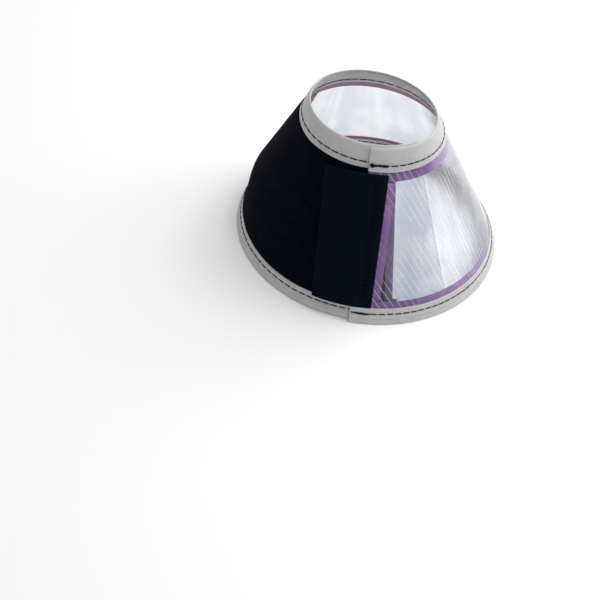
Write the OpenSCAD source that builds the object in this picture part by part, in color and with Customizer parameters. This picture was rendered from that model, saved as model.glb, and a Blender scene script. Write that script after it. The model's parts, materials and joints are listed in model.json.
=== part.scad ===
// Soft elizabethan collar for a small pet: a clear sheet rolled into a cone that stands on its wide rim.
// Folded tape binds both edges, and a hook tab closes the cone on a panel of loop fabric at the front.
//
// The strip runs once round the cone and on under itself. Places along it are strip angles in degrees,
// seen from above: the outer end is at the front, 90 is the middle of the back, and larger angles go
// round by the left side to the inner end. Depth is measured down the slope from the neck's crest, and
// height is measured outwards from the middle of the sheet.
//
// The sheet bends everywhere on the real collar. Here it is a chain of panels with hinges on straight
// lines of the cone, so that it can unroll.

/* [Cone] */
// Mean radius of the neck's crest
neck_r = 32.3; // [28:0.1:60]
// Length of the collar down its slope
slope_length = 100; // [80:1:160]
// Half of the cone's opening angle
half_angle = 25.9; // [22:0.1:32]
// How far the cone bulges at the ends of its long diameter
ovality = 3.3; // [0:0.1:4]
// Direction of the long diameter
oval_angle = 151; // [0:1:180]
// Height from the inner layer's middle to the outer layer's, where they overlap
layer_gap = 3.9; // [3.6:0.1:5]

/* [Strip] */
// Strip angle of the outer end
outer_end = -90; // [-90:1:-88]
// Angle that one panel covers
panel_span = 34; // [30:1:34]
// Angle that the last panel covers, at the inner end
end_span = 31; // [20:1:34]
// Gap between two panels, as an angle
panel_gap = 0.5; // [0.3:0.1:1]
// Number of panels from the back to the outer end
right_panels = 5; // [5:5]
// Number of panels from the back to the inner end
left_panels = 6; // [6:6]

/* [Sheet] */
// Thickness of the clear sheet
sheet_t = 0.5; // [0.3:0.1:1]
// Middle of the embossed ring, as a distance from the loop panel's end
ring_from_loop = 8.6; // [7:0.1:14]
// Middle of the embossed ring, down the slope
ring_depth = 51; // [30:1:70]
// Radius of the embossed ring
ring_r = 4.4; // [3:0.1:5]

/* [Bindings] */
// Width of the neck binding, on each face
neck_width = 12.9; // [10:0.1:16]
// Width of the rim binding, on each face
rim_width = 9.6; // [8:0.1:14]
// Distance from a binding's flat edge to its seam
seam_in = 3.3; // [2.5:0.1:4]
// Thickness of the binding's tape
tape_t = 0.65; // [0.4:0.05:0.9]
// Thickness over the padded fold
fold_t = 2.7; // [2.2:0.1:3]
// Width of the seam's thread
thread_w = 0.5; // [0.3:0.1:0.8]
// How far the thread stands out
thread_t = 0.25; // [0.1:0.05:0.4]
// Length of the back tack at each end of a seam
tack_length = 10; // [6:1:14]
// Width of a back tack
tack_w = 1.5; // [1.2:0.1:2]

/* [Loop panel] */
// Thickness of the loop fabric
loop_t = 1.3; // [0.8:0.1:1.6]
// First of the panels with loop fabric, counted from the back to the inner end
loop_first = 2; // [2:2]
// Last of the panels with loop fabric
loop_last = 5; // [5:5]

/* [Tab] */
// Length of the tab down the slope
tab_length = 76; // [60:1:80]
// Depth of the tab's upper edge
tab_top = 14.2; // [13.5:0.1:20]
// Width of the part that is sewn to the sheet
sewn_width = 11.3; // [8:0.1:16]
// Width of the part that folds over the loop panel
flap_width = 22; // [15:0.5:30]
// Thickness of the tab's woven backing
backing_t = 0.9; // [0.6:0.1:1.2]
// Gap between the hook fabric and the loop fabric
hook_gap = 0.85; // [0.5:0.05:1]
// Step of the zigzag seam
zigzag_step = 3; // [2:0.5:5]

/* [Hidden] */
// Panels of the strip, and where each starts and ends.
RIGHT = [for (i = [right_panels:-1:1]) str("right_", i)];
LEFT = [for (i = [1:left_panels]) str("left_", i)];
PANELS = concat(RIGHT, ["back"], LEFT);
LOOP_PANELS = [for (i = [loop_first:loop_last]) str("left_", i)];
last = len(PANELS) - 1;
function panel_start(i) = outer_end + i * panel_span;
function panel_end(i) = i == last ? panel_start(i) + end_span : panel_start(i + 1);
inner_end = panel_end(last);
loop_end = panel_start(last);

// The cone. The strip winds slowly inwards, so that the two layers stay apart where they overlap.
rim_r = neck_r + slope_length * sin(half_angle);
strip_middle = panel_start(right_panels) + panel_span / 2;
winding_span = 130;
layer_step = layer_gap / cos(half_angle);
// Puts the origin under the middle of the whole collar.
axis_at = [-1.71, 1.09];

// Face heights, from the middle of the sheet.
face = sheet_t / 2;
flange_face = face + tape_t;
groove_face = flange_face - 0.15;
fold_face = fold_t / 2;
// The tab's sewn part lies on the outer layer, and its flap lies on the loop panel of the inner layer.
hook_face = loop_t + face - layer_gap + hook_gap;
hook_t = 1.2;
flap_face = hook_face + hook_t;
steps = 6;
tab_rows = 3;
// Threads lie this far off what they are sewn to, so that flat facets don't cross them.
thread_lift = 0.04;

// How far the strip has wound out of the middle cone at a strip angle, and how fast that grows.
function winding(a) =
    let (turn = min(abs(a - strip_middle), winding_span))
    sign(strip_middle - a) * layer_step / 4 * (1 - cos(turn * 180 / winding_span));
function winding_slope(a) =
    let (turn = min(abs(a - strip_middle), winding_span))
    -layer_step / 4 * 180 / winding_span * sin(turn * 180 / winding_span);

// A point of the strip. Every straight line down the slope keeps the cone's half angle.
function strip_point(a, depth, height) =
    let (
        out = rim_r + ovality * cos(2 * (a - oval_angle)) + winding(a)
            - (slope_length - depth) * sin(half_angle) + height * cos(half_angle),
        side = -2 * ovality * sin(2 * (a - oval_angle)) + winding_slope(a)
    )
    [
        axis_at.x + out * cos(a) - side * sin(a),
        axis_at.y + out * sin(a) + side * cos(a),
        (slope_length - depth) * cos(half_angle) + height * sin(half_angle)
    ];

// A point at a distance across from a straight line of the strip, as measured on the flat sheet.
function flat_point(line, across, depth, height) =
    let (
        bend_r = rim_r - 3 * ovality * cos(2 * (line - oval_angle)) - (slope_length - depth) * sin(half_angle),
        to_apex = bend_r / sin(half_angle),
        turn = atan2(across, to_apex)
    )
    strip_point(line + turn / sin(half_angle), depth + norm([across, to_apex]) - to_apex, height);

// Faces of rings of count points each, closed by a cap at both ends.
function tube_faces(count, rings) = concat(
    [[for (i = [count - 1:-1:0]) i]],
    [for (r = [0:rings - 2], i = [0:count - 1])
        let (next = (i + 1) % count)
        [r * count + next, (r + 1) * count + next, (r + 1) * count + i, r * count + i]],
    [[for (i = [0:count - 1]) (rings - 1) * count + i]]);

// The same faces with each four-sided one cut in two.
function cut_in_two(faces) = [
    for (f = faces)
        each len(f) == 4 ? [[f[0], f[1], f[2]], [f[0], f[2], f[3]]] : [f]
];

// A profile of [depth, height] points, carried along the strip.
module along_strip(profile, start, end, cuts = steps) {
    polyhedron(
        points = [
            for (i = [0:cuts], p = profile)
                strip_point(start + (end - start) * i / cuts, p[0], p[1])
        ],
        faces = tube_faces(len(profile), cuts + 1),
        convexity = 4);
}

// A plate that lies on the strip beside one of its straight lines. It reaches from one distance across
// to another, and may move down the slope by a lean on the way.
module plate(line, left, right, top, bottom, low, high, cuts = steps, rows = tab_rows, lean = 0) {
    down = [for (i = [0:rows]) top + (bottom - top) * i / rows];
    outline = concat(
        [for (d = down) [d, low]],
        [for (i = [rows:-1:0]) [down[i], high]]);
    polyhedron(
        points = [
            for (i = [0:cuts], p = outline)
                flat_point(line, left + (right - left) * i / cuts, p[0] + lean * i / cuts, p[1])
        ],
        faces = cut_in_two(tube_faces(len(outline), cuts + 1)),
        convexity = 4);
}

// Outside of a binding's tape, as [distance from the crest, height] points.
function fold_outline(width) = [
    [width, flange_face],
    [width - seam_in + thread_w / 2, groove_face],
    [width - seam_in - thread_w / 2, groove_face],
    [width - seam_in - 3, fold_face - 0.1],
    [3, fold_face],
    [1.2, fold_face - 0.3]
];
function flipped(points) = [for (i = [len(points) - 1:-1:0]) [points[i][0], -points[i][1]]];

// A binding is folded over the sheet's edge, which stops short of the fold.
function binding_profile(width, crest) = concat(
    [[width, face]], fold_outline(width), crest, flipped(fold_outline(width)),
    [[width, -face], [1, -face], [1, face]]);
NECK_CREST = [[0.3, 0.6], [0, 0], [0.3, -0.6]];
// The rim's fold is pressed flat where the collar stands on it.
foot = 0.6 * tan(half_angle);
RIM_CREST = [[-foot, 0.6], [foot, -0.6]];
function from_neck(points) = [for (p = points) [p[0], p[1]]];
function from_rim(points) = [for (i = [len(points) - 1:-1:0]) [slope_length - points[i][0], points[i][1]]];

function gap_start(i) = panel_start(i) + (i == 0 ? 0 : panel_gap / 2);
function gap_end(i) = panel_end(i) - (i == last ? 0 : panel_gap / 2);

module band(profile, i) {
    along_strip(profile, gap_start(i), gap_end(i));
}

module sheet(i) {
    color("LightCyan", 0.4) {
        band([[1, -face], [slope_length - 1, -face], [slope_length - 1, face], [1, face]], i);
        if (i == last) embossed_ring();
    }
}

module embossed_ring() {
    sides = 20;
    rib = [[-0.35, -0.1], [0.35, -0.1], [0.2, 0.45], [-0.2, 0.45]];
    count = len(rib);
    points = [
        for (k = [0:sides - 1], p = rib)
            flat_point(
                loop_end,
                ring_from_loop + (ring_r + p[0]) * cos(360 * k / sides),
                ring_depth - (ring_r + p[0]) * sin(360 * k / sides),
                p[1])
    ];
    faces = [
        for (k = [0:sides - 1], i = [0:count - 1])
            let (after = (k + 1) % sides, next = (i + 1) % count)
            [k * count + next, after * count + next, after * count + i, k * count + i]
    ];
    polyhedron(points = points, faces = faces, convexity = 4);
}

module neck_binding(i) {
    color("Gainsboro") band(from_neck(binding_profile(neck_width, NECK_CREST)), i);
}

module rim_binding(i) {
    color("Gainsboro") band(from_rim(binding_profile(rim_width, RIM_CREST)), i);
}

function thread_profile(depth, height) = [
    [depth - thread_w / 2, height], [depth + thread_w / 2, height],
    [depth + thread_w / 2, height + thread_t], [depth - thread_w / 2, height + thread_t]
];

module seam_stitches(i) {
    color("DimGray")
    for (depth = [neck_width - seam_in, slope_length - rim_width + seam_in], height = [groove_face, -groove_face - thread_t])
        band(thread_profile(depth, height), i);
}

module loop_fabric(i) {
    color("MidnightBlue")
    band([
        [neck_width, face], [slope_length - rim_width, face],
        [slope_length - rim_width, face + loop_t], [neck_width, face + loop_t]
    ], i);
}

module tab_sewn_edge() {
    color("DarkSlateBlue")
    plate(outer_end, 0, sewn_width, tab_top, tab_top + tab_length, face, face + backing_t);
}

module tab_flap() {
    color("DarkSlateBlue")
    plate(outer_end, -flap_width, -panel_gap, tab_top, tab_top + tab_length, flap_face, flap_face + backing_t);
}

module tab_hook_fabric() {
    color("Black")
    plate(outer_end, 1 - flap_width, -1, tab_top + 1, tab_top + tab_length - 1, hook_face, flap_face);
}

// Slanted stitches, each from one side of the seam to the other.
module tab_zigzag_stitches() {
    count = floor((tab_length - 2 * zigzag_step) / zigzag_step);
    lean = zigzag_step - 2 * thread_w;
    color("DimGray")
    for (k = [0:count - 1]) {
        falls = k % 2 == 0;
        depth = tab_top + (k + 1) * zigzag_step + (falls ? 0 : lean);
        plate(
            outer_end, sewn_width / 4, sewn_width * 3 / 4, depth, depth + thread_w,
            face + backing_t + thread_lift, face + backing_t + thread_lift + thread_t,
            2, 1, falls ? lean : -lean);
    }
}

// A back tack is the sewing run to and fro over the last stitches. It sits astride the seam's thread.
function tack_profile(depth) =
    let (
        foot = groove_face + 0.12,
        under = groove_face + thread_t + thread_lift,
        top = under + thread_t,
        inside = thread_w / 2 + thread_lift,
        outside = tack_w / 2
    )
    [
        [depth - outside, foot], [depth - inside, foot], [depth - inside, under], [depth + inside, under],
        [depth + inside, foot], [depth + outside, foot], [depth + outside, top], [depth - outside, top]
    ];

// The angle that a length takes up along the strip.
function span_of(length, depth) =
    length / (rim_r - (slope_length - depth) * sin(half_angle)) * 180 / PI;

// The tacks on both seams at one end of the strip, where way is 1 at the outer end and -1 at the inner.
module back_tacks(end, way) {
    color("DimGray")
    for (depth = [neck_width - seam_in, slope_length - rim_width + seam_in]) {
        near = end + way * span_of(1, depth);
        far = end + way * span_of(1 + tack_length, depth);
        along_strip(tack_profile(depth), min(near, far), max(near, far), 3);
    }
}

module back_tacks_outer_end() {
    back_tacks(outer_end, 1);
}

module back_tacks_inner_end() {
    back_tacks(inner_end, -1);
}

for (i = [0:last]) {
    name = PANELS[i];
    sheet(i);
    neck_binding(i);
    rim_binding(i);
    seam_stitches(i);
    if (i > right_panels + 1 && i < last)
        loop_fabric(i);
}
tab_sewn_edge();
tab_flap();
tab_hook_fabric();
tab_zigzag_stitches();
back_tacks_outer_end();
back_tacks_inner_end();
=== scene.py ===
"""Looks of a soft elizabethan collar: a clear sheet rolled into a cone, with taped edges and a hook tab.

Places on the collar are given as the CAD part gives them: a strip angle in degrees, which grows round
the cone from the outer end at the front to the inner end under it, a depth down the slope from the
neck's crest, and a height outwards from the middle of the sheet. Lengths are in metres. Every long
piece is cut at the middle of each CAD panel, so that a cut piece spans one hinge.
"""

import json
import math

import bpy
import numpy as np
from mathutils import Matrix, Vector

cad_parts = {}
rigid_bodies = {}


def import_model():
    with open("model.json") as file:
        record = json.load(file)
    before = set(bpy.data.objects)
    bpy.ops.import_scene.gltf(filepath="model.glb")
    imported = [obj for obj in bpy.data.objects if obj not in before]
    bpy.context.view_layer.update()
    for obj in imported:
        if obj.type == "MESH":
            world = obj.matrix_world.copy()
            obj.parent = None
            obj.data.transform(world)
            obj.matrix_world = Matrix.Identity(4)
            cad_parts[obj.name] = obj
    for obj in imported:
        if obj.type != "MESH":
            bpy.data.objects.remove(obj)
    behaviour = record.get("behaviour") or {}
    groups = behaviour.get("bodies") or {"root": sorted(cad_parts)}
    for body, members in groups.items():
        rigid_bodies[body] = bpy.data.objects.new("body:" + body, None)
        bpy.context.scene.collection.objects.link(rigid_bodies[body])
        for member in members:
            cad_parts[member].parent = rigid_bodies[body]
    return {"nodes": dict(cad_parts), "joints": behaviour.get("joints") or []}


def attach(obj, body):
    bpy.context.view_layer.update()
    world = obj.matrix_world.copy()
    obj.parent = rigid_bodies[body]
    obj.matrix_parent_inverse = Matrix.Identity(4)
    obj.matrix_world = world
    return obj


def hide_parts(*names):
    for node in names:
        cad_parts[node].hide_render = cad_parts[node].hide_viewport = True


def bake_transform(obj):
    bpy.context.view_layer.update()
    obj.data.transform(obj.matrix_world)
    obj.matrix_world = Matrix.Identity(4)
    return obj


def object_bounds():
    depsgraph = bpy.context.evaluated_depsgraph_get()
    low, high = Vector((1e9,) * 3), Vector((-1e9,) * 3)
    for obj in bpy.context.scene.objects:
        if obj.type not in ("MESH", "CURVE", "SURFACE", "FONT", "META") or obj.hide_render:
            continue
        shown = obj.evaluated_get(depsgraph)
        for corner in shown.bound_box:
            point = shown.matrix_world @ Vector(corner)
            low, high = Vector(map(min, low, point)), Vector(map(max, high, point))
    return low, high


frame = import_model()
cad_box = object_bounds()

MM = 0.001

# Panels of the strip, from its outer end to its inner end, and the hinges between them.
PANELS = [f"right_{i}" for i in range(5, 0, -1)] + ["back"] + [f"left_{i}" for i in range(1, 7)]
JOINTS = {frozenset((joint["parent"], joint["child"])): joint for joint in frame["joints"]}


def hinge_axis(before, after):
    """Direction of the hinge between two panels, pointing up the slope."""
    axis = np.array(JOINTS[frozenset((before, after))]["axis"])
    return axis * math.copysign(1, axis[2])


AXES = [hinge_axis(before, after) for before, after in zip(PANELS, PANELS[1:])]
HINGES = np.degrees(np.unwrap([math.atan2(-axis[1], -axis[0]) for axis in AXES]))
PANEL_SPAN = HINGES[1] - HINGES[0]
END_SPAN = 31
OUTER_END = HINGES[0] - PANEL_SPAN
INNER_END = HINGES[-1] + END_SPAN
MIDDLES = (np.concatenate([[OUTER_END], HINGES]) + np.concatenate([HINGES, [INNER_END]])) / 2
CUTS = np.concatenate([[OUTER_END], MIDDLES[1:-1], [INNER_END]])
LOOP_START = HINGES[6]
LOOP_END = HINGES[10]

# The cone, with the CAD part's radius and ovality. The soft sheet's layers lie closer together than the
# CAD part's rigid ones, and the outer layer keeps its place.
HALF_ANGLE = math.acos(AXES[0][2])
SLOPE = (cad_box[1].z - cad_box[0].z) / math.cos(HALF_ANGLE)
CAD_GAP = 3.9 * MM
LAYER_GAP = 1.9 * MM
NECK_R = 32.3 * MM + (CAD_GAP - LAYER_GAP) / 2 / math.cos(HALF_ANGLE)
OVALITY = 3.3 * MM
OVAL_ANGLE = 151
AXIS_AT = (-1.71 * MM, 1.09 * MM)
RIM_R = NECK_R + SLOPE * math.sin(HALF_ANGLE)
STRIP_MIDDLE = (HINGES[4] + HINGES[5]) / 2
WINDING_SPAN = 130
LAYER_STEP = LAYER_GAP / math.cos(HALF_ANGLE)

# The bulge of the sheet and its loop panel on the side away from the tab: its middle and its spread in
# degrees, and the shares of the way down over which it grows and fades.
BULGE = 4.4 * MM
BULGE_ANGLE = 176
BULGE_SPREAD = 32
BULGE_GROWS = 0.76
BULGE_FADES = 0.34

# Heights from the middle of the sheet, and the bindings' measures.
FACE = 0.25 * MM
FLANGE = 0.65 * MM
FOLD = 0.88 * MM
NECK_WIDTH = 12.9 * MM
RIM_WIDTH = 9.6 * MM
SEAM_IN = 3.3 * MM
NECK_SEAM = NECK_WIDTH - SEAM_IN
RIM_SEAM = SLOPE - RIM_WIDTH + SEAM_IN
STITCH_PITCH = 4.5 * MM
THREAD_R = 0.3 * MM
THREAD_SIDES = 8
THREAD_FLATNESS = 0.85
ZIGZAG_PITCH = 1.6 * MM
TACK_ROWS = 16
TACK_REACH = 7.2 * MM
KNOT_ROWS = 7

# The loop panel, which is thinner than the CAD part's, and the tab with its hooks.
LOOP_T = 1 * MM
TAB_TOP = 14.2 * MM
TAB_LENGTH = 76 * MM
SEWN_WIDTH = 11.3 * MM
FLAP_WIDTH = 22 * MM
BACKING_T = 0.9 * MM
HOOK_HEIGHT = 1.05 * MM
HOOK_FOOT = 0.2 * MM
HOOK_LEAN = 0.45 * MM
HOOK_R = 0.1 * MM
HOOK_SIDES = 5
HOOK_RINGS = 6
FLAP_FACE = LOOP_T + FACE - LAYER_GAP + HOOK_HEIGHT

# The coloured border, which is printed on the sheet's inner face.
BORDER_W = 4.5 * MM
BORDER_T = 0.06 * MM
NECK_BORDER = 18.1 * MM
RIM_BORDER = 86.4 * MM

# The small round mark pressed into the sheet near its inner end.
MARK_ACROSS = 8.6 * MM
MARK_DEPTH = 51 * MM
MARK_R = 4.4 * MM


# ---- The strip ----


def wound(angle):
    """How far the strip has wound out of the middle cone, and how fast that grows with the angle."""
    turn = np.radians(np.minimum(abs(angle - STRIP_MIDDLE), WINDING_SPAN) * 180 / WINDING_SPAN)
    step = np.sign(STRIP_MIDDLE - angle) * LAYER_STEP / 4 * (1 - np.cos(turn))
    return step, -LAYER_STEP / 4 * 180 / WINDING_SPAN * np.sin(turn)


def strip(angle, depth, height):
    """Points of the strip in the row frame."""
    angle, depth, height = np.broadcast_arrays(angle, depth, height)
    a = np.radians(angle)
    bulge = 2 * (a - math.radians(OVAL_ANGLE))
    step, rate = wound(angle)
    up = (SLOPE - depth) * math.cos(HALF_ANGLE) + height * math.sin(HALF_ANGLE)
    out = RIM_R + OVALITY * np.cos(bulge) + step
    out = out - (SLOPE - depth) * math.sin(HALF_ANGLE) + height * math.cos(HALF_ANGLE)
    side = -2 * OVALITY * np.sin(bulge) + rate
    x = AXIS_AT[0] + out * np.cos(a) - side * np.sin(a)
    y = AXIS_AT[1] + out * np.sin(a) + side * np.cos(a)
    return np.stack([x, y, up], axis=-1)


def bend_radius(angle, depth):
    """How far a place on the strip is from the line that the strip bends round there."""
    bulge = np.radians(2 * (np.asarray(angle) - OVAL_ANGLE))
    return RIM_R - 3 * OVALITY * np.cos(bulge) - (SLOPE - depth) * math.sin(HALF_ANGLE)


def beside(line, across, depth):
    """Strip angle and depth of a place at a distance across from one of the strip's straight lines."""
    to_apex = bend_radius(line, depth) / math.sin(HALF_ANGLE)
    turn = np.degrees(np.arctan2(across, to_apex))
    return line + turn / math.sin(HALF_ANGLE), depth + np.hypot(across, to_apex) - to_apex


def flat_place(angle, depth):
    """Where a place on the strip lies on the flat sheet."""
    to_apex = (RIM_R - (SLOPE - depth) * math.sin(HALF_ANGLE)) / math.sin(HALF_ANGLE)
    turn = np.radians(angle) * math.sin(HALF_ANGLE)
    return to_apex * np.cos(turn), to_apex * np.sin(turn)


def smooth(value):
    """0 below 0, 1 above 1, and a smooth rise between them."""
    value = np.clip(value, 0, 1)
    return value * value * (3 - 2 * value)


def hump(offset, width):
    """A bell curve of height 1."""
    return np.exp(-((offset / width) ** 2))


def rounded(share, power=2, least=0):
    """Rises from 0 to 1 in a round curve, like the edge of a cushion."""
    return np.sqrt(np.clip(1 - (1 - np.clip(share, 0, 1)) ** power, least, 1))


def waver(place, length, seed):
    """A soft irregular wave between about -1 and 1, with bends about the given length apart."""
    draw = np.random.default_rng(seed)
    total = 0
    for _ in range(5):
        wave = length * draw.uniform(0.7, 2.2)
        total = total + np.sin(2 * math.pi * (place / wave + draw.random()))
    return total / 2.4


def bulge_out(angle, depth):
    """How far the sheet and its loop panel bulge between the bindings, on the side away from the tab."""
    share = np.clip((depth - NECK_WIDTH) / (SLOPE - NECK_WIDTH - RIM_WIDTH), 0, 1)
    down = share / BULGE_GROWS * smooth((1 - share) / BULGE_FADES)
    return BULGE * down * hump(angle - BULGE_ANGLE, BULGE_SPREAD)


def sheet_wave(angle, depth):
    """The sheet's shallow unevenness, which fades out at the bindings and under the tab."""
    free = smooth((depth - NECK_WIDTH) / (18 * MM)) * smooth((SLOPE - RIM_WIDTH - depth) / (18 * MM))
    free = free * smooth((angle - OUTER_END - 22) / 12) * smooth((LOOP_START - 3 - angle) / 15)
    x, y = flat_place(angle, depth)
    uneven = 0.22 * MM * free * waver(x + 0.4 * y, 34 * MM, 3) * waver(y, 41 * MM, 4)
    return bulge_out(angle, depth) + uneven


# ---- Meshes ----


def new_object(name, points, faces, places=None, material=None):
    """A smooth shaded object. Places are the points' texture places, in metres."""
    mesh = bpy.data.meshes.new(name)
    mesh.from_pydata(np.asarray(points, float).tolist(), [], faces)
    mesh.polygons.foreach_set("use_smooth", [True] * len(mesh.polygons))
    if places is not None:
        corners = np.zeros(len(mesh.loops), np.int32)
        mesh.loops.foreach_get("vertex_index", corners)
        layer = mesh.uv_layers.new(name="flat")
        layer.data.foreach_set("uv", np.asarray(places, np.float32)[corners].ravel())
    mesh.update()
    made = bpy.data.objects.new(name, mesh)
    bpy.context.scene.collection.objects.link(made)
    if material is not None:
        mesh.materials.append(material)
    return made


def bend_over(piece, hinge):
    """Bakes a piece's transform into its mesh, for a piece that spans one of the strip's hinges. The places
    of the panel middles on both sides of the hinge are worked out but not used.
    """
    before, after = MIDDLES[hinge], MIDDLES[hinge + 1]
    start, end = (Vector(strip(angle, SLOPE / 2, 0)) for angle in (before, after))
    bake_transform(piece)


def stand_for(hinge, node):
    """A cut piece stands for the CAD node on the panel after its hinge, and the first one for both."""
    panels = PANELS[hinge : hinge + 2] if hinge == 0 else [PANELS[hinge + 1]]
    names = [f"{node}_{panel}" for panel in panels]
    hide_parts(*[name for name in names if name in frame["nodes"]])


def turned_out(points, faces):
    """The faces of a closed shape, turned over if they look inwards."""
    total = 0
    for face in faces:
        corners = points[list(face)]
        total += np.einsum("i,ji->", corners[0], np.cross(corners[1:-1], corners[2:]))
    return faces if total > 0 else [face[::-1] for face in faces]


def shifted(faces, count):
    """The same faces over points that come after a count of others."""
    return [tuple(count + point for point in face) for face in faces]


def grid_faces(rows, columns, wraps):
    """Four-sided faces between the points of a grid, whose columns may close into a ring."""
    faces = []
    for row in range(rows - 1):
        here = row * columns
        below = here + columns
        for column in range(columns if wraps else columns - 1):
            beyond = (column + 1) % columns
            faces.append((here + column, below + column, below + beyond, here + beyond))
    return faces


def end_faces(rows, columns):
    """Faces that close the first and the last ring of a grid."""
    last = rows * columns - 1
    return [tuple(range(columns)), tuple(range(last, last - columns, -1))]


def ring_normals(points):
    """Normals of a grid whose columns close into a ring."""
    along = np.gradient(points, axis=0)
    round_it = np.roll(points, -1, axis=1) - np.roll(points, 1, axis=1)
    normal = np.cross(along, round_it)
    return normal / np.maximum(np.linalg.norm(normal, axis=-1, keepdims=True), 1e-12)


def stations(start, end, step):
    """Strip angles from start to end, a step or less apart, with one at each cut."""
    stops = [start, *[cut for cut in CUTS if start + 0.01 < cut < end - 0.01], end]
    runs = [np.linspace(a, b, math.ceil((b - a) / step) + 1)[:-1] for a, b in zip(stops, stops[1:])]
    return np.concatenate([*runs, [end]])


def long_piece(name, node, material, angle, depth, height, capped=True, radius=None):
    """A closed profile carried along the strip, cut into pieces that span one hinge each.

    Angle has one value a station; depth and height have a row for each station. With a radius, the
    texture places run along the strip at that radius and round the profile.
    """
    points = strip(angle[:, None], depth, height)
    normals = ring_normals(points)
    sides = np.linalg.norm(np.diff(points[:1], axis=1), axis=-1)
    round_it = np.broadcast_to(np.concatenate([[0], np.cumsum(sides[0])]), depth.shape)
    if radius is None:
        places = np.stack(flat_place(angle[:, None], depth), axis=-1)
    else:
        along = np.broadcast_to(np.radians(angle)[:, None] * radius, depth.shape)
        places = np.stack([along, round_it], axis=-1)
    columns = depth.shape[1]
    outward = np.einsum("ij,ij->", normals[0], points[0] - points[0].mean(0)) > 0
    made = []
    for hinge, (start, end) in enumerate(zip(CUTS, CUTS[1:])):
        rows = np.flatnonzero((angle > start - 1e-6) & (angle < end + 1e-6))
        if len(rows) < 2:
            continue
        faces = grid_faces(len(rows), columns, True)
        closes = (capped or rows[0] == 0, capped or rows[-1] == len(angle) - 1)
        caps = [cap for cap, wanted in zip(end_faces(len(rows), columns), closes) if wanted]
        faces = [face if outward else face[::-1] for face in faces + caps]
        piece = new_object(
            f"{name}_{hinge + 1:02d}",
            points[rows].reshape(-1, 3),
            faces,
            places[rows].reshape(-1, 2),
            material,
        )
        smooth_normals(piece, (normals[rows] * (1 if outward else -1)).reshape(-1, 3), len(caps))
        bend_over(piece, hinge)
        if node:
            stand_for(hinge, node)
        made.append(piece)
    return made


def smooth_normals(piece, normals, caps):
    """Gives each corner its point's own normal, and keeps the last few faces flat."""
    mesh = piece.data
    corners = np.zeros(len(mesh.loops), np.int32)
    mesh.loops.foreach_get("vertex_index", corners)
    wanted = normals[corners]
    for face in list(mesh.polygons)[len(mesh.polygons) - caps :]:
        wanted[face.loop_start : face.loop_start + face.loop_total] = face.normal
    mesh.normals_split_custom_set(wanted.tolist())


# ---- Materials ----


class Look:
    """A node material with one Principled shader."""

    def __init__(self, name, color, roughness, **settings):
        self.material = bpy.data.materials.new(name)
        self.material.use_nodes = True
        self.tree = self.material.node_tree
        self.shader = self.tree.nodes["Principled BSDF"]
        self.shader.inputs["Base Color"].default_value = (*color, 1)
        self.shader.inputs["Roughness"].default_value = roughness
        for key, value in settings.items():
            self.shader.inputs[key.replace("_", " ")].default_value = value

    def node(self, kind, inputs=None, **settings):
        """A new node. Inputs are values or the sockets that feed them."""
        made = self.tree.nodes.new(kind)
        for key, value in settings.items():
            setattr(made, key, value)
        for key, value in (inputs or {}).items():
            if isinstance(value, bpy.types.NodeSocket):
                self.tree.links.new(value, made.inputs[key])
            else:
                made.inputs[key].default_value = value
        return made

    def millimetres(self, place):
        """A place in metres, scaled to millimetres."""
        scaled = self.node("ShaderNodeVectorMath", {0: place, 1: (1 / MM,) * 3}, operation="MULTIPLY")
        return scaled.outputs[0]

    def place(self):
        """Texture places in millimetres over the flat sheet or along the strip."""
        return self.millimetres(self.node("ShaderNodeUVMap", uv_map="flat").outputs["UV"])

    def space(self):
        """Places in millimetres in the object's own frame."""
        return self.millimetres(self.node("ShaderNodeTexCoord").outputs["Object"])

    def noise(self, place, scale, detail, roughness):
        """Cloudy noise with features about 1 / scale millimetres wide."""
        made = self.node(
            "ShaderNodeTexNoise",
            {"Vector": place, "Scale": scale, "Detail": detail, "Roughness": roughness},
        )
        return made.outputs["Fac"]

    def math(self, operation, *values):
        """The result of a sum on values or sockets."""
        made = self.node("ShaderNodeMath", dict(enumerate(values)), operation=operation)
        return made.outputs[0]

    def ramp(self, value, low, high, bottom=0.0, top=1.0):
        """A smooth change from bottom to top as the value goes from low to high."""
        made = self.node(
            "ShaderNodeMapRange",
            {"Value": value, "From Min": low, "From Max": high, "To Min": bottom, "To Max": top},
            interpolation_type="SMOOTHSTEP",
        )
        return made.outputs[0]

    def mix(self, factor, dark, light):
        """A colour between two others."""
        made = self.node(
            "ShaderNodeMix", {"Factor": factor, "A": (*dark, 1), "B": (*light, 1)}, data_type="RGBA"
        )
        return made.outputs["Result"]

    def feed(self, name, value):
        """Links a value to one of the shader's inputs."""
        self.tree.links.new(value, self.shader.inputs[name])

    def bump(self, value, strength, distance):
        """Relief from a height."""
        made = self.node(
            "ShaderNodeBump", {"Height": value, "Strength": strength, "Distance": distance}
        )
        self.feed("Normal", made.outputs["Normal"])


def tape_look():
    """Soft satin vinyl with a fine grain and faint handling marks."""
    look = Look("binding_vinyl", (0.5, 0.5, 0.5), 0.42)
    place = look.space()
    grain = look.noise(place, 3.2, 4, 0.6)
    marks = look.ramp(look.noise(place, 0.12, 4, 0.6), 0.42, 0.66)
    look.feed("Base Color", look.mix(marks, (0.53, 0.525, 0.525), (0.49, 0.485, 0.48)))
    look.feed("Roughness", look.ramp(grain, 0.3, 0.7, 0.36, 0.5))
    look.bump(grain, 0.25, 0.05 * MM)
    return look.material


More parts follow.
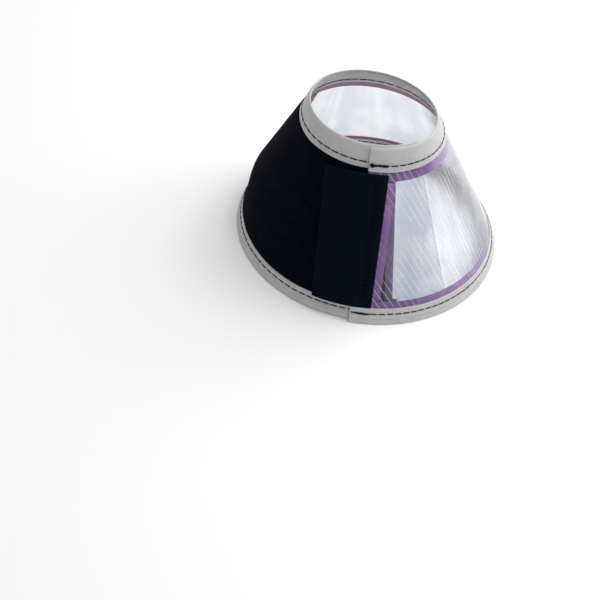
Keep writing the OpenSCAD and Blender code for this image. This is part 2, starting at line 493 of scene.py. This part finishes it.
def sheet_look():
    """Clear flexible plastic with fine straight white lines and a painted reflection: a bluish-grey tint
    streaked along its generators, over the sheet's own faint haze.
    """
    line_pitch = 3.4
    clear_share = 0.97
    look = Look("clear_sheet", (0.9, 0.92, 0.94), 0.06, IOR=1.46, Transmission_Weight=clear_share)
    place = look.place()
    split = look.node("ShaderNodeSeparateXYZ", {0: place})
    turn = look.math("ARCTAN2", split.outputs["Y"], split.outputs["X"])
    bands = look.node("ShaderNodeCombineXYZ", {0: look.math("MULTIPLY", turn, 260), 1: 0})
    # Painted reflection: streaks along the generators that stand for the surroundings reflected in the
    # cone.
    reflection_streak = look.noise(bands.outputs[0], 0.05, 2, 0.5)
    cloud = look.noise(place, 0.03, 2, 0.5)
    both = look.math("ADD", look.math("MULTIPLY", reflection_streak, 0.55), look.math("MULTIPLY", cloud, 0.45))
    painted_reflection_mask = look.ramp(both, 0.42, 0.6)
    line = look.math("FRACT", look.math("DIVIDE", split.outputs["Y"], line_pitch))
    line = look.math("ABSOLUTE", look.math("SUBTRACT", line, 0.5))
    line = look.ramp(line, 0.0, 0.09, 0.8, 0.0)
    line = look.math("MULTIPLY", line, look.ramp(look.noise(place, 0.04, 1, 0.5), 0.25, 0.55))
    line = look.math("MULTIPLY", line, look.ramp(turn, 0.15, 0.4, 1.0, 0.0))
    # Painted reflection: a bluish-grey tint over the sheet's own faint haze, lighter and darker by the
    # streaks above.
    painted_reflection_tint = look.mix(painted_reflection_mask, (0.66, 0.69, 0.735), (0.81, 0.815, 0.825))
    tinted = look.node("ShaderNodeMix", {"Factor": line, "A": painted_reflection_tint, "B": (1, 1, 1, 1)}, data_type="RGBA")
    look.feed("Base Color", tinted.outputs["Result"])
    clearness = look.math("SUBTRACT", clear_share, look.math("MULTIPLY", line, 0.5))
    look.feed("Transmission Weight", clearness)
    look.feed("Roughness", look.ramp(cloud, 0.3, 0.75, 0.03, 0.1))
    clear = look.node("ShaderNodeBsdfTransparent", {"Color": (0.93, 0.95, 0.97, 1)})
    path = look.node("ShaderNodeLightPath")
    shown = look.node(
        "ShaderNodeMixShader",
        {0: path.outputs["Is Shadow Ray"], 1: look.shader.outputs[0], 2: clear.outputs[0]},
    )
    output = look.tree.nodes["Material Output"]
    look.tree.links.new(shown.outputs[0], output.inputs["Surface"])
    return look.material


def border_look(name, color):
    """Coloured film under the sheet."""
    look = Look(name, color, 0.35)
    cloud = look.noise(look.place(), 0.08, 4, 0.6)
    darker = tuple(0.86 * part for part in color)
    look.feed("Base Color", look.mix(look.ramp(cloud, 0.35, 0.65), darker, color))
    look.bump(look.noise(look.place(), 2.5, 3, 0.5), 0.1, 0.02 * MM)
    return look.material


def thread_look(name, dark, light, shine):
    """Twisted sewing thread."""
    look = Look(name, dark, 0.6, Specular_IOR_Level=shine)
    place = look.place()
    twist = look.node(
        "ShaderNodeTexWave",
        {"Vector": place, "Scale": 1.1, "Distortion": 0.6},
        wave_type="BANDS",
        bands_direction="DIAGONAL",
    )
    look.feed("Base Color", look.mix(twist.outputs["Fac"], dark, light))
    look.bump(twist.outputs["Fac"], 0.7, 0.06 * MM)
    return look.material


def loop_look():
    """Brushed loop pile, nearly black, which lights up only at its grazing edges."""
    look = Look("loop_pile", (0.001, 0.002, 0.006), 1.0, Specular_IOR_Level=0.05, Sheen_Weight=0.01)
    place = look.place()
    pile = look.node("ShaderNodeTexVoronoi", {"Vector": place, "Scale": 1.5}, feature="F1")
    brushed = look.noise(place, 0.16, 5, 0.65)
    tone = look.ramp(brushed, 0.35, 0.7)
    look.feed("Base Color", look.mix(tone, (0.0006, 0.001, 0.004), (0.0014, 0.0026, 0.0085)))
    look.bump(look.math("ADD", pile.outputs["Distance"], look.noise(place, 2.4, 4, 0.7)), 0.8, 0.2 * MM)
    return look.material


def weave_look():
    """Satin woven backing with crosswise ribs."""
    rib_pitch = 0.62
    thread_pitch = 0.5
    look = Look("tab_weave", (0.002, 0.006, 0.012), 0.75, Specular_IOR_Level=0.03)
    place = look.place()
    split = look.node("ShaderNodeSeparateXYZ", {0: place})
    rib = look.math("SINE", look.math("MULTIPLY", split.outputs["Y"], 2 * math.pi / rib_pitch))
    over = look.math("SINE", look.math("MULTIPLY", split.outputs["X"], 2 * math.pi / thread_pitch))
    weave = look.math("MULTIPLY", rib, look.math("ADD", look.math("MULTIPLY", over, 0.35), 0.65))
    height = look.ramp(weave, -1.0, 1.0)
    cloud = look.noise(place, 0.09, 4, 0.6)
    tone = look.math("ADD", look.math("MULTIPLY", height, 0.45), look.math("MULTIPLY", cloud, 0.6))
    tone = look.ramp(tone, 0.2, 0.9)
    look.feed("Base Color", look.mix(tone, (0.0008, 0.0035, 0.0075), (0.0025, 0.0075, 0.0145)))
    look.bump(height, 0.6, 0.09 * MM)
    return look.material


def hook_look():
    """Stiff moulded hooks."""
    look = Look("hook_plastic", (0.01, 0.014, 0.028), 0.38)
    grain = look.noise(look.space(), 2.0, 3, 0.5)
    look.feed("Base Color", look.mix(grain, (0.006, 0.009, 0.018), (0.016, 0.022, 0.04)))
    look.feed("Roughness", look.ramp(grain, 0.3, 0.7, 0.3, 0.5))
    return look.material


VINYL = tape_look()
CLEAR = sheet_look()
PURPLE = border_look("border_outside", (0.33, 0.1, 0.4))
MAGENTA = border_look("border_inside", (0.32, 0.075, 0.185))
THREAD = thread_look("sewing_thread", (0.003, 0.003, 0.004), (0.012, 0.012, 0.014), 0.15)
TAB_THREAD = thread_look("tab_thread", (0.0006, 0.0024, 0.005), (0.0016, 0.0055, 0.01), 0.03)
LOOPS = loop_look()
WEAVE = weave_look()
HOOKS = hook_look()


# ---- Pieces ----


def profile_rows(angle, profile):
    """A fixed profile of (depth, height) points, repeated for every station."""
    depth, height = np.array(profile, float).T
    shape = (len(angle), len(profile))
    return np.broadcast_to(depth, shape).copy(), np.broadcast_to(height, shape).copy()


def ring_mark(angle, depth):
    """Height of the ring-shaped mark beside the loop panel."""
    across = np.radians(angle - LOOP_END) * bend_radius(LOOP_END, depth)
    away = np.hypot(across - MARK_ACROSS, depth - MARK_DEPTH)
    return 0.22 * MM * hump(away - MARK_R, 0.35 * MM)


def clear_sheet():
    """The sheet, from under one binding to under the other, in finer steps round the ring mark."""
    top = 1 * MM
    bottom = 99 * MM
    coarse = np.arange(top, bottom + 0.1 * MM, 3.5 * MM)
    fine = np.arange(MARK_DEPTH - 6 * MM, MARK_DEPTH + 6.1 * MM, 0.4 * MM)
    depths = np.unique(np.round(np.concatenate([coarse, fine, [bottom]]), 6))
    angle = np.union1d(stations(OUTER_END, INNER_END, 1.5), np.arange(LOOP_END + 2, LOOP_END + 16, 0.25))
    profile = [(d, FACE) for d in depths] + [(d, -FACE) for d in depths[::-1]]
    depth, height = profile_rows(angle, profile)
    height = height + sheet_wave(angle[:, None], depth) + ring_mark(angle[:, None], depth)
    pieces = long_piece("clear_sheet", "sheet", CLEAR, angle, depth, height, capped=False)


def border_band(name, top, bottom, end):
    """A printed strip that runs along the sheet from its outer end."""
    angle = stations(OUTER_END, end, 1.5)
    depths = np.linspace(top, bottom, 6)
    under = FACE + 0.02 * MM
    profile = [(d, -under) for d in depths] + [(d, -under - BORDER_T) for d in depths[::-1]]
    depth, height = profile_rows(angle, profile)
    height = height + sheet_wave(angle[:, None], depth)
    for piece in long_piece(name, None, PURPLE, angle, depth, height):
        paint_inside(piece)


def border_strip(name, hinge, line, left, right, top, bottom):
    """A printed strip down the slope, beside one of the strip's straight lines."""
    across, down = np.meshgrid(np.linspace(left, right, 4), np.linspace(top, bottom, 24), indexing="ij")
    angle, depth = beside(line, across, down)
    height = -FACE - 0.1 * MM + sheet_wave(angle, depth)
    paint_inside(plate(name, hinge, PURPLE, angle, depth, height, height + BORDER_T))


def paint_inside(piece):
    """The side that faces into the cone has the print's other colour."""
    mesh = piece.data
    mesh.materials.append(MAGENTA)
    for face in mesh.polygons:
        outward = face.center.x * face.normal.x + face.center.y * face.normal.y
        face.material_index = 0 if outward > 0 else 1


def plate(name, hinge, material, angle, depth, low, high, places=None):
    """A thin closed plate over a grid of places on the strip, whose transform is baked when a hinge is
    given.
    """
    rows, columns = angle.shape
    over = strip(angle, depth, high).reshape(-1, 3)
    under = strip(angle, depth, low).reshape(-1, 3)
    count = rows * columns
    top = grid_faces(rows, columns, False)
    bottom = [face[::-1] for face in shifted(top, count)]
    first = list(range(0, count, columns))
    last = list(range(columns - 1, count, columns))
    edge = first + list(range(count - columns + 1, count)) + last[-2::-1] + list(range(columns - 2, 0, -1))
    around = [(a, a + count, b + count, b) for a, b in zip(edge, edge[1:] + edge[:1])]
    points = np.concatenate([over, under])
    faces = turned_out(points, top + bottom + around)
    if places is None:
        places = np.stack(flat_place(angle, depth), axis=-1)
    places = np.concatenate([places.reshape(-1, 2)] * 2)
    piece = new_object(name, points, faces, places, material)
    if hinge is not None:
        bend_over(piece, hinge)
    return piece


def border():
    """The print: a strip along each binding, and strips down the slope at the tab and the loop panel."""
    border_band("neck_border", NECK_WIDTH - 2 * MM, NECK_BORDER, LOOP_END + 13)
    border_band("rim_border", RIM_BORDER, SLOPE - RIM_WIDTH + 2 * MM, LOOP_END + 6)
    border_strip("tab_border", 0, OUTER_END, 0, SEWN_WIDTH + BORDER_W, NECK_BORDER, RIM_BORDER)
    border_strip("loop_start_border", 6, LOOP_START, -BORDER_W, 1 * MM, NECK_BORDER, RIM_BORDER)
    border_strip("loop_end_border", 10, LOOP_END, -1 * MM, BORDER_W, NECK_BORDER, RIM_BORDER)


def tape_height(distance, width):
    """Height of a folded tape's face at a distance from its crest."""
    seam = width - SEAM_IN
    fold = FOLD * rounded(distance / (2.6 * MM), power=2.2)
    flange = smooth((distance - seam + 2.7 * MM) / (2.5 * MM))
    height = fold + (FLANGE - fold) * flange
    height = height - 0.13 * MM * hump(distance - seam, 0.55 * MM)
    edge = np.clip((distance - width + 0.35 * MM) / (0.35 * MM), 0, 1)
    return height - 0.2 * MM * edge**2


def binding(name, node, width, seam_radius, at_rim):
    """A tape folded over one edge of the sheet, puckered a little where its seam is sewn."""
    seam = width - SEAM_IN
    near = np.array([0, 0.06, 0.18, 0.4, 0.7, 1.1, 1.6, 2.2, 2.9]) * MM
    middle = np.linspace(3.6 * MM, seam - 3 * MM, 5)
    sewn = seam + np.array([-2.5, -2, -1.5, -1.1, -0.75, -0.45, -0.2, 0, 0.2, 0.45, 0.75, 1.2]) * MM
    flat = width - np.array([1.5, 0.9, 0.45, 0.22, 0.08, 0]) * MM
    distances = np.concatenate([near, middle, sewn, flat])
    step = math.degrees(0.6 * MM / seam_radius)
    angle = stations(OUTER_END, INNER_END, step)
    along = np.radians(angle - OUTER_END)[:, None] * seam_radius
    base = tape_height(distances, width)[None, :]
    hole = abs(np.cos(math.pi * along / STITCH_PITCH)) ** 10
    pulled = hump(distances - seam, 1.3 * MM)[None, :]
    soft = smooth(distances / (3 * MM))[None, :]
    faces = []
    for side, seed in ((1, 11), (-1, 23)):
        swell = 0.07 * MM * waver(along, 26 * MM, seed) + 0.035 * MM * waver(along, 7 * MM, seed + 1)
        height = base + soft * (1 - 0.5 * pulled) * swell - 0.11 * MM * hole * pulled
        edge_shift = 0.18 * MM * waver(along, 30 * MM, seed + 2) * (distances > seam)[None, :]
        faces.append((distances[None, :] + edge_shift, side * height))
    inside = np.array([[width, -FACE], [1 * MM, -FACE], [1 * MM, FACE], [width, FACE]])
    lining = np.broadcast_to(inside, (len(angle), 4, 2))
    outer, inner = faces
    distance = np.concatenate([outer[0][:, ::-1], inner[0][:, 1:], lining[:, :, 0]], axis=1)
    height = np.concatenate([outer[1][:, ::-1], inner[1][:, 1:], lining[:, :, 1]], axis=1)
    if at_rim:
        distance = np.maximum(distance, -height * math.tan(HALF_ANGLE))
        distance = SLOPE - distance
    pieces = long_piece(name, node, VINYL, angle, distance, height, radius=seam_radius)


def thread_run(path, radius):
    """A closed tube through strip places. Path has rows of (angle, depth, height)."""
    path = np.asarray(path, float)
    sides = THREAD_SIDES
    turn = np.arange(sides) * 2 * math.pi / sides
    ring = np.stack([np.cos(turn), THREAD_FLATNESS * np.sin(turn)], axis=1) * radius
    count = len(path)
    size = np.ones(count)
    size[[0, -1]] = 0.45
    along = np.gradient(path, axis=0)
    scale = np.radians(1) * bend_radius(path[:, 0], path[:, 1])
    forward = np.stack([along[:, 0] * scale, along[:, 1]], axis=1)
    forward = forward / np.maximum(np.linalg.norm(forward, axis=1, keepdims=True), 1e-12)
    points = np.zeros((count, sides, 3))
    for k, (across, up) in enumerate(ring):
        points[:, k, 0] = path[:, 0] - size * across * forward[:, 1] / scale
        points[:, k, 1] = path[:, 1] + size * across * forward[:, 0]
        points[:, k, 2] = path[:, 2] + size * up
    faces = grid_faces(count, sides, True) + end_faces(count, sides)
    places = np.zeros((count, sides, 2))
    places[:, :, 0] = (np.cumsum(np.linalg.norm(forward, axis=1)) * 0.5 * MM)[:, None]
    places[:, :, 1] = (np.arange(sides) * 0.2 * MM)[None, :]
    return points.reshape(-1, 3), faces, places.reshape(-1, 2)


def stitch_path(start, end, depth, face, side):
    """A stitch from hole to hole, which dips into the tape at both ends."""
    sink = 0.25 * MM
    share = np.linspace(0, 1, 9)
    rise = np.sin(math.pi * share) ** 0.45
    angle = start + (end - start) * share
    height = face + THREAD_R * 0.5 - sink * (1 - rise)
    slant = 0.1 * MM * (share - 0.5)
    return np.stack([angle, depth + slant, side * height], axis=1)


def sewn_pieces(name, node, runs, material):
    """Threads, gathered into one piece for each hinge that they lie round."""
    made = []
    for hinge, (start, end) in enumerate(zip(CUTS, CUTS[1:])):
        points, faces, places, count = [], [], [], 0
        for path, radius in runs:
            if not start <= np.mean(path[:, 0]) < end:
                continue
            tube, tube_faces, tube_places = thread_run(path, radius)
            faces += shifted(tube_faces, count)
            points.append(tube)
            places.append(tube_places)
            count += len(tube)
        if not points:
            continue
        flat = np.concatenate(points)
        solid = strip(flat[:, 0], flat[:, 1], flat[:, 2])
        faces = turned_out(solid, faces)
        piece = new_object(f"{name}_{hinge + 1:02d}", solid, faces, np.concatenate(places), material)
        bend_over(piece, hinge)
        if node:
            stand_for(hinge, node)
        made.append(piece)
    return made


def seam_runs(depth, width):
    """Lockstitches along a seam, on both faces of the tape."""
    radius = float(np.mean(bend_radius(np.linspace(0, 360, 73), depth)))
    pitch = math.degrees(STITCH_PITCH / radius)
    draw = np.random.default_rng(int(depth / MM))
    face = tape_height(width - SEAM_IN, width)
    runs = []
    for side in (1, -1):
        start = OUTER_END + math.degrees(1 * MM / radius) + (0 if side == 1 else pitch / 2)
        while start + pitch < INNER_END:
            gap = pitch * draw.uniform(0.05, 0.12)
            place = depth + 0.07 * MM * draw.uniform(-1, 1)
            path = stitch_path(start + gap / 2, start + pitch - gap / 2, place, face, side)
            runs.append((path, THREAD_R))
            start += pitch
    return runs


def seams():
    """The two seams through the bindings."""
    runs = seam_runs(NECK_SEAM, NECK_WIDTH) + seam_runs(RIM_SEAM, RIM_WIDTH)
    sewn_pieces("seam_stitches", "seam_stitches", runs, THREAD)


def back_tack_runs(end, way):
    """Crowded threads over the last stitches at one end of the strip, with a knot at the outer end."""
    draw = np.random.default_rng(int(end) % 97)
    runs = []
    for depth, width in ((NECK_SEAM, NECK_WIDTH), (RIM_SEAM, RIM_WIDTH)):
        radius = float(bend_radius(end, depth))
        face = tape_height(width - SEAM_IN, width)
        for row in range(TACK_ROWS):
            off = draw.uniform(-0.4, 0.4) * MM
            first = 0.5 * MM + TACK_REACH * row / (TACK_ROWS - 1)
            length = draw.uniform(2.6, 3.6) * MM
            a, b = (end + way * math.degrees(place / radius) for place in (first, first + length))
            lift = 0.05 * MM * (row % 3) if way > 0 else 0
            path = stitch_path(min(a, b), max(a, b), depth + off, face + lift, 1)
            path[:, 1] += np.linspace(-0.2, 0.2, len(path)) * draw.uniform(-1, 1) * MM
            runs.append((path, THREAD_R * 1.15))
        if way < 0 or depth > NECK_SEAM:
            continue
        for row in range(KNOT_ROWS):
            place = 0.7 * MM + 0.35 * MM * row
            down = np.linspace(-1.2, 1.2, 9) * MM * math.sin(math.pi * (row + 1.5) / (KNOT_ROWS + 2))
            height = face + 0.35 * MM + 0.2 * MM * np.sin(np.linspace(0, math.pi, 9)) ** 0.5
            turn = np.full(9, end + way * math.degrees(place / radius)) + np.linspace(-0.2, 0.2, 9)
            runs.append((np.stack([turn, depth + down, height], axis=1), THREAD_R))
    return runs


def back_tacks():
    """The back tacks at both ends of both seams."""
    for name, end, way in (("back_tacks_outer_end", OUTER_END, 1), ("back_tacks_inner_end", INNER_END, -1)):
        for piece in sewn_pieces(name + "_thread", None, back_tack_runs(end, way), THREAD):
            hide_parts(name)


def loop_fabric():
    """The loop panel on the outside of the sheet, with a brushed pile and soft cut edges."""
    angle = stations(LOOP_START, LOOP_END, 0.7)
    depths = np.linspace(NECK_WIDTH + 0.15 * MM, SLOPE - RIM_WIDTH - 0.15 * MM, 110)
    to_edge = np.minimum(depths - depths[0], depths[-1] - depths)
    draw = np.random.default_rng(5)
    pile = draw.uniform(-1, 1, (len(angle), len(depths)))
    pile = (pile + np.roll(pile, 1, 0) + np.roll(pile, 1, 1)) / 3
    along = np.radians(angle)[:, None] * 60 * MM
    brushed = waver(along + 0.3 * depths[None, :], 11 * MM, 8) * waver(depths[None, :], 13 * MM, 9)
    ends = rounded(np.minimum(angle - LOOP_START, LOOP_END - angle) / 0.8, least=0.1)[:, None]
    sides = rounded(to_edge / (0.9 * MM))[None, :]
    top = LOOP_T * (0.55 + 0.45 * sides) * (0.6 + 0.4 * ends)
    top = FACE + top + (0.06 * pile + 0.05 * brushed - 0.1) * MM
    shape = (len(angle), len(depths))
    depth = np.broadcast_to(np.concatenate([depths, depths[::-1]]), (shape[0], 2 * shape[1]))
    height = np.concatenate([top, np.full(shape, FACE + 0.01 * MM)], axis=1)
    height = height + sheet_wave(angle[:, None], depth)
    pieces = long_piece("loop_fabric", "loop_fabric", LOOPS, angle, depth, height)


def tab_grid():
    """Places of the tab's backing: distance across, depth, and its underside's height."""
    across = np.linspace(-FLAP_WIDTH, SEWN_WIDTH, 68)
    down = np.linspace(TAB_TOP, TAB_TOP + TAB_LENGTH, 150)
    across, down = np.meshgrid(across, down, indexing="ij")
    step = smooth((across + 3.2 * MM) / (3.4 * MM))
    low = FLAP_FACE + (FACE + 0.02 * MM - FLAP_FACE) * step
    return across, down, low


def tab_places(across, down):
    """Strip angle and depth of places on the tab, whose lower edge follows the rim binding."""
    angle, depth = beside(OUTER_END, across, down)
    near_end = smooth((down - TAB_TOP - TAB_LENGTH) / (14 * MM) + 1)
    return angle, depth - near_end * np.maximum(depth - down, 0)


def bend_tab(piece):
    """Bakes the tab's transform into its mesh. The places of the line that its flap would turn on are
    worked out but not used.
    """
    start, end = (Vector(strip(OUTER_END + turn, SLOPE / 2, 0)) for turn in (1, -3))
    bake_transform(piece)


def tab_backing():
    """The woven backing, sewn down on the right of the seam and free on the left."""
    across, down, low = tab_grid()
    angle, depth = tab_places(across, down)
    from_sides = np.minimum(across + FLAP_WIDTH, SEWN_WIDTH - across)
    from_ends = np.minimum(down - TAB_TOP, TAB_TOP + TAB_LENGTH - down)
    edge = rounded(np.minimum(from_sides, from_ends) / (0.6 * MM))
    sag = 0.06 * MM * waver(down, 22 * MM, 14) * waver(across, 17 * MM, 15)
    row = np.exp(-(((across - SEWN_WIDTH / 2) / (3.4 * MM)) ** 6))
    high = low + BACKING_T * (0.45 + 0.55 * edge) + sag - 0.12 * MM * row
    places = np.stack([across, down], axis=-1)
    piece = plate("tab_backing", None, WEAVE, angle, depth, low, high, places)
    bend_tab(piece)
    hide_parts("tab_sewn_edge", "tab_flap")


def hook(across, down, lean):
    """Rings of points down one bent hook, which leans up or down the tab."""
    share = np.linspace(0, 1, HOOK_RINGS)[:, None]
    turn = np.arange(HOOK_SIDES) * 2 * math.pi / HOOK_SIDES
    drop = HOOK_FOOT + (HOOK_HEIGHT - HOOK_FOOT) * np.sin(share * 2)
    ring_across = across + HOOK_R * np.cos(turn) + 0 * share
    ring_down = down + lean * HOOK_LEAN * share**2 + HOOK_R * np.sin(turn)
    angle, depth = tab_places(ring_across, ring_down)
    return strip(angle, depth, FLAP_FACE - drop).reshape(-1, 3)


def tab_hooks():
    """Rows of small bent hooks under the flap, on their own thin base."""
    base_t = 0.3 * MM
    across = np.linspace(1 * MM - FLAP_WIDTH, -1.2 * MM, 20)
    down = np.linspace(TAB_TOP + 1 * MM, TAB_TOP + TAB_LENGTH - 1 * MM, 60)
    grid = np.meshgrid(across, down, indexing="ij")
    angle, depth = tab_places(*grid)
    base = np.full(angle.shape, FLAP_FACE - base_t)
    piece = plate("tab_hook_base", None, HOOKS, angle, depth, base, base + base_t)
    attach(piece, "hook_tab")
    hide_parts("tab_hook_fabric")
    hook_faces = grid_faces(HOOK_RINGS, HOOK_SIDES, True) + end_faces(HOOK_RINGS, HOOK_SIDES)
    columns = np.arange(1.7 * MM - FLAP_WIDTH, -1.7 * MM, 1.05 * MM)
    rows = np.arange(TAB_TOP + 1.8 * MM, TAB_TOP + TAB_LENGTH - 1.6 * MM, 1.15 * MM)
    points, faces = [], []
    for column, across in enumerate(columns):
        for row, down in enumerate(rows):
            faces += shifted(hook_faces, len(points) * HOOK_RINGS * HOOK_SIDES)
            points.append(hook(across, down, 1 if (column + row) % 2 else -1))
    points = np.concatenate(points)
    faces = turned_out(points, faces)
    piece = new_object("tab_hooks", points, faces, np.zeros((len(points), 2)), HOOKS)
    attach(piece, "hook_tab")


def tab_zigzag():
    """The zigzag seam that holds the tab down."""
    draw = np.random.default_rng(31)
    top = FACE + BACKING_T + 0.02 * MM - 0.12 * MM
    runs = []
    sides = (SEWN_WIDTH * 0.38, SEWN_WIDTH * 0.76)
    share = np.linspace(0, 1, 9)
    for number in range(int((TAB_LENGTH - 4 * MM) / ZIGZAG_PITCH)):
        down = TAB_TOP + 2 * MM + number * ZIGZAG_PITCH
        left, right = sides if number % 2 == 0 else sides[::-1]
        across = left + (right - left) * share
        down = down + ZIGZAG_PITCH * share + 0.1 * MM * draw.uniform(-1, 1)
        angle, depth = beside(OUTER_END, across, down)
        height = top + THREAD_R * 0.6 - 0.3 * MM * (1 - np.sin(math.pi * share) ** 0.4)
        runs.append((np.stack([angle, depth, height], axis=1), THREAD_R))
    for piece in sewn_pieces("tab_zigzag_thread", None, runs, TAB_THREAD):
        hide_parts("tab_zigzag_stitches")


clear_sheet()
border()
binding("neck_binding", "neck_binding", NECK_WIDTH, NECK_R + NECK_SEAM * math.sin(HALF_ANGLE), False)
binding("rim_binding", "rim_binding", RIM_WIDTH, NECK_R + RIM_SEAM * math.sin(HALF_ANGLE), True)
seams()
back_tacks()
loop_fabric()
tab_backing()
tab_hooks()
tab_zigzag()


# ---- Studio ----


def floor():
    """A plain pale floor."""
    look = Look("studio_floor", (0.93, 0.93, 0.93), 0.9)
    cloud = look.noise(look.space(), 0.004, 2, 0.5)
    look.feed("Base Color", look.mix(cloud, (0.925, 0.925, 0.925), (0.935, 0.935, 0.935)))
    half = 9
    level = -0.05 * MM
    corners = [(-half, -half, level), (half, -half, level), (half, half, level), (-half, half, level)]
    piece = new_object("studio_floor", corners, [(0, 1, 2, 3)], None, look.material)


def softbox(name, place, target, size, power):
    """A large square light that looks at a target."""
    data = bpy.data.lights.new(name, "AREA")
    data.shape = "SQUARE"
    data.size = size
    data.energy = power
    light = bpy.data.objects.new(name, data)
    bpy.context.scene.collection.objects.link(light)
    light.location = place
    light.rotation_euler = (Vector(target) - Vector(place)).to_track_quat("-Z", "Y").to_euler()


def world(strength):
    """An even white surround."""
    made = bpy.data.worlds.new("studio")
    made.use_nodes = True
    made.node_tree.nodes["Background"].inputs["Color"].default_value = (0.97, 0.98, 1, 1)
    made.node_tree.nodes["Background"].inputs["Strength"].default_value = strength
    bpy.context.scene.world = made


def camera(place, target, lens, roll):
    """The camera, which looks at a target and is rolled by a few tenths of a degree."""
    data = bpy.data.cameras.new("camera")
    data.lens = lens
    data.sensor_width = 36
    data.clip_start = 0.01
    made = bpy.data.objects.new("camera", data)
    bpy.context.scene.collection.objects.link(made)
    turn = (Vector(target) - Vector(place)).to_track_quat("-Z", "Y").to_matrix()
    turn = turn @ Matrix.Rotation(math.radians(roll), 3, "Z")
    made.location = place
    made.rotation_euler = turn.to_euler()
    bpy.context.scene.camera = made


floor()
world(0.42)
softbox("key", (0.85, 0.55, 1.35), (0, 0, 0.04), 1.9, 37)
camera((50.44 * MM, -413.51 * MM, 411.65 * MM), (-17.59 * MM, -103.75 * MM, 45 * MM), 57.48, 0.32)

scene = bpy.context.scene
scene.view_settings.view_transform = "Standard"
scene.cycles.use_denoising = True
